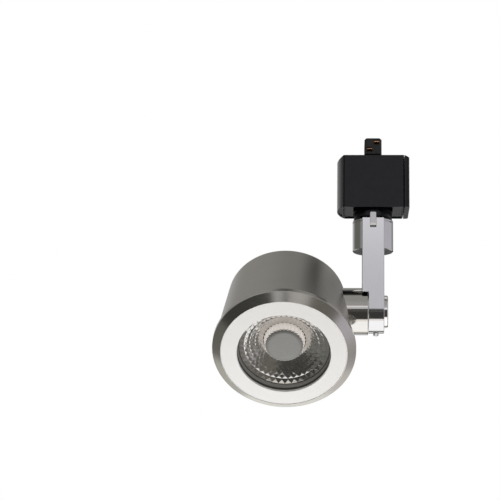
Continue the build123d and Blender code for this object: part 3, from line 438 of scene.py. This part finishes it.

# white post round the disc, with a painted glow: a bead, a groove painted dark as shade, and a fluted side that
# widens to its foot
POST_INNER, POST_BEAD, POST_FOOT_RADIUS, GROOVE_RADIUS = 11.76, 12.1, 13.2, 11.85
POST_FOOT = 30.6
POST_STEPS, FLUTE_DEPTH = 64, 0.7
# edges of the groove, given the dark material as painted shade, because the post's glow would otherwise light them
GROOVE_PAINTED_SHADE_EDGES = (2, 3)
post_section = [(POST_INNER, DISC_RIM), (POST_BEAD, 36.75), (POST_BEAD, 36.4), (GROOVE_RADIUS, 36.2),
                (POST_BEAD, 35.9), (POST_FOOT_RADIUS, POST_FOOT), (POST_INNER, POST_FOOT)]
lens_post = spun("lens_post", post_section, frosted_side_painted_glow_material(), POST_STEPS, FLUTE_DEPTH, GROOVE_PAINTED_SHADE_EDGES,
                 dark_plastic_and_painted_shade)
for piece in (lens_bowl, lens_disc, lens_post):
    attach(piece, "head")
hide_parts("lens")


# ------------------------------------------------------------------ floor, light and camera
FLOOR_HEIGHT, FLOOR_RADIUS = -1.5, 0.85
floor_shape = bmesh.new()
bmesh.ops.create_circle(floor_shape, cap_ends=True, segments=96, radius=FLOOR_RADIUS)
bmesh.ops.translate(floor_shape, verts=floor_shape.verts, vec=(0, 0, FLOOR_HEIGHT))
floor_constants = {"Base Color": (0.8, 0.8, 0.8, 1), "Roughness": 0.9, "Emission Color": (1, 1, 1, 1),
                   "Emission Strength": 1.15}
floor = finish_mesh(floor_shape, "floor", new_material("pale_floor", floor_constants)[0], False)

# The studio, by direction as seen from the object: azimuth is degrees from the camera's side (-Y) towards
# +X, elevation is degrees above the horizon. Later panels cover earlier ones.
# (azimuth, half width, elevation, half height, soft edge, colour)
BACKGROUND = (0.34, 0.335, 0.32)
PANELS = [
    (0, 100, 52, 40, 20, (0.38, 0.375, 0.36)),       # ceiling on the camera's side
    (160, 25, 62, 12, 15, (0.285, 0.28, 0.265)),     # and a duller patch of it behind
    (0, 181, 86, 9, 6, (0.05, 0.05, 0.045)),         # dark rail overhead
    (-32, 44, -22, 26, 4, (0.055, 0.055, 0.05)),     # dark part of the room behind the camera
    (38, 26, -22, 26, 4, (0.17, 0.16, 0.14)),        # and its warmer side on the right
    (-101, 25, -6, 30, 8, (0.17, 0.17, 0.15)),       # dark screen on the left
    (-7, 5.5, -6, 2.7, 2, (0.88, 0.87, 0.85)),       # lit shelf in the dark part, in two lengths
    (15, 12, -6, 2.7, 2, (0.8, 0.79, 0.77)),
    (0, 40, 26, 14, 16, (0.44, 0.435, 0.43)),        # wall above it
    (0, 45, 10.5, 7, 3, (0.72, 0.715, 0.745)),       # and its brighter foot
    (0, 12, 15.5, 3, 3, (1.05, 1.04, 1.07)),         # with a lamp in it
    (96, 35, -2, 34, 6, (0.6, 0.585, 0.63)),         # screen on the right
    (162, 15, 13, 11, 6, (0.28, 0.28, 0.285)),       # gap beside it
    (-140, 20, -24, 20, 12, (0.6, 0.6, 0.55)),       # backdrop low on the left
    (147, 16, -28, 20, 12, (0.76, 0.73, 0.7)),       # and low on the right
    (180, 19, -25, 8, 8, (1.05, 1.05, 1.0)),         # lit foot of the backdrop
    (180, 60, -8, 8, 6, (0.05, 0.05, 0.055)),        # shade above it
    (-162, 22, 13, 10, 8, (0.62, 0.62, 0.62)),       # backdrop, seen past the left side
    (180, 14, -39, 6.5, 3, (0.05, 0.05, 0.045)),     # far edge of the floor
    (180, 55, -57, 11, 4, (1.25, 1.23, 1.18)),       # floor behind
    (0, 32, -58.8, 10.2, 3, (1.2, 1.16, 1.1)),       # floor in front
    (98, 20, -39, 7, 6, (0.38, 0.36, 0.32)),         # foot of the screen on the right
    (-86, 50, -50, 12, 6, (0.17, 0.17, 0.155)),      # shade on the floor, left and right
    (84, 50, -53, 10, 6, (0.2, 0.19, 0.18)),
]


def degrees_of(tree, value):
    """An angle in degrees from one in radians."""
    return calculate(tree, "MULTIPLY", value, 180 / pi)


def light_studio():
    """World whose light comes from soft panels, and which the camera sees as plain white."""
    world = bpy.data.worlds.new("studio")
    world.use_nodes = True
    tree = world.node_tree
    direction = add_node(tree, "ShaderNodeTexCoord").outputs["Generated"]
    split = add_node(tree, "ShaderNodeSeparateXYZ", {0: direction})
    forwards = calculate(tree, "MULTIPLY", split.outputs["Y"], -1.0)
    azimuth = degrees_of(tree, calculate(tree, "ARCTAN2", split.outputs["X"], forwards))
    elevation = degrees_of(tree, calculate(tree, "ARCSINE", split.outputs["Z"]))
    colour = add_node(tree, "ShaderNodeRGB").outputs[0]
    colour.default_value = (*BACKGROUND, 1)
    for centre, half_width, level, half_height, soft, shade in PANELS:
        around_it = calculate(tree, "SUBTRACT", azimuth, float(centre))
        wrapped = calculate(tree, "WRAP", around_it, 180.0)
        wrapped.node.inputs[2].default_value = -180.0
        masks = []
        for distance, half in ((wrapped, half_width),
                               (calculate(tree, "SUBTRACT", elevation, float(level)), half_height)):
            sockets = {"Value": calculate(tree, "ABSOLUTE", distance), "From Min": half - soft / 2,
                       "From Max": half + soft / 2, "To Min": 1.0, "To Max": 0.0}
            fade = add_node(tree, "ShaderNodeMapRange", sockets, interpolation_type="SMOOTHSTEP")
            masks.append(fade.outputs["Result"])
        colour = mix_colours(tree, calculate(tree, "MULTIPLY", *masks), colour, (*shade, 1))
    seen = add_node(tree, "ShaderNodeBackground", {"Color": (1, 1, 1, 1), "Strength": 1.0})
    lit = tree.nodes["Background"]
    tree.links.new(colour, lit.inputs["Color"])
    is_camera = add_node(tree, "ShaderNodeLightPath").outputs["Is Camera Ray"]
    both = add_node(tree, "ShaderNodeMixShader", {0: is_camera, 1: lit.outputs[0], 2: seen.outputs[0]})
    tree.links.new(both.outputs[0], tree.nodes["World Output"].inputs["Surface"])
    bpy.context.scene.world = world


def fill_light(place, target, size, watts):
    """Soft lamp that lights matt surfaces without showing in the metal."""
    lamp = bpy.data.lights.new("fill", "AREA")
    lamp.shape = "DISK"
    lamp.size = size
    lamp.energy = watts
    holder = bpy.data.objects.new("fill", lamp)
    bpy.context.scene.collection.objects.link(holder)
    holder.location = place
    holder.rotation_mode = "QUATERNION"
    holder.rotation_quaternion = (target - place).to_track_quat("-Z", "Y")
    holder.visible_glossy = False


# the fill lamp hangs low and a little behind the head
FILL_OFFSET = Vector((-0.03, 0.08, -0.6))
FILL_SIZE, FILL_WATTS = 0.2, 2.4

light_studio()
fill_light(HEAD_CENTRE + FILL_OFFSET, HEAD_CENTRE, FILL_SIZE, FILL_WATTS)
bpy.context.scene.view_settings.view_transform = "Standard"

CAMERA_PLACE = Vector((-0.01687, -1.05, -0.27957))
CAMERA_YAW, CAMERA_PITCH, CAMERA_ROLL = -0.059, 0.207, 0.015
FOCAL_LENGTH, SENSOR_WIDTH = 120.2, 36.0
camera_data = bpy.data.cameras.new("camera")
camera_data.sensor_width = SENSOR_WIDTH
camera_data.lens = FOCAL_LENGTH
camera = bpy.data.objects.new("camera", camera_data)
bpy.context.scene.collection.objects.link(camera)
aim_turn = Matrix.Rotation(-CAMERA_YAW, 4, "Z") @ Matrix.Rotation(pi / 2 + CAMERA_PITCH, 4, "X")
camera.matrix_world = Matrix.Translation(CAMERA_PLACE) @ aim_turn @ Matrix.Rotation(CAMERA_ROLL, 4, "Z")
bpy.context.scene.camera = camera
